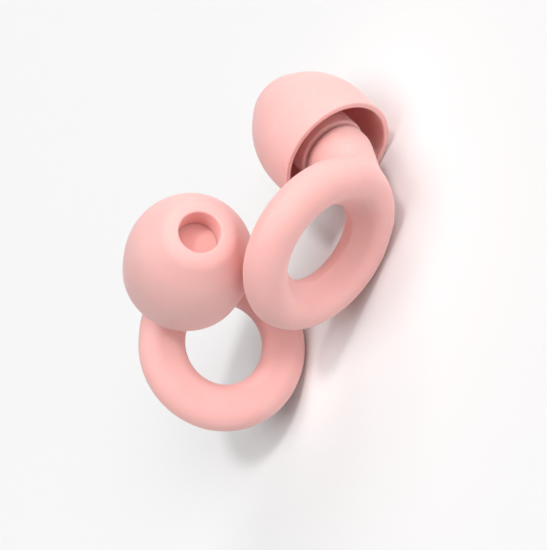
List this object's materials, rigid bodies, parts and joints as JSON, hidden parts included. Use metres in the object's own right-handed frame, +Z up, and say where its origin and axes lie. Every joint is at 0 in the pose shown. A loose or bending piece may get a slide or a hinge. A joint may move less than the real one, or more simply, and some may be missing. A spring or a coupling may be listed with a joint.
{
  "type": "reusable ear plugs",
  "caption": "Pair of reusable flanged ear plugs, each with a soft ring handle, a stiff stem core and a hollow pull-off ear tip, lying against each other.",
  "frame": {"origin": "centre of the pair's footprint box on the surface it lies on", "axes": "+Z up, +X along the pair's longest side, +Y away from the viewer"},
  "size_m": [0.0362, 0.0226, 0.0229],
  "materials": {
    "ring_silicone": "matte, soft-touch",
    "core_plastic": "matte",
    "tip_silicone": "matte, soft-touch"
  },
  "bodies": {
    "right_plug": {"right_ring_body": "ring_silicone", "right_stem_core": "core_plastic"},
    "right_tip": {"right_ear_tip": "tip_silicone"},
    "left_plug": {"left_ring_body": "ring_silicone", "left_stem_core": "core_plastic"},
    "left_tip": {"left_ear_tip": "tip_silicone"}
  },
  "joints": [
    {"name": "right_tip_pull", "type": "slide", "parent": "right_plug", "child": "right_tip", "axis": [0.4809, 0.855, 0.1943], "range_m": [0, 0.01]},
    {"name": "left_plug_lift", "type": "slide", "parent": "right_plug", "child": "left_plug", "axis": [0, 0, 1], "range_m": [0, 0.03]},
    {"name": "left_tip_twist", "type": "hinge", "parent": "left_plug", "child": "left_tip", "pos_m": [-0.00048, -0.0017, 0.01844], "axis": [0.3687, -0.8411, 0.3957], "continuous": true}
  ]
}
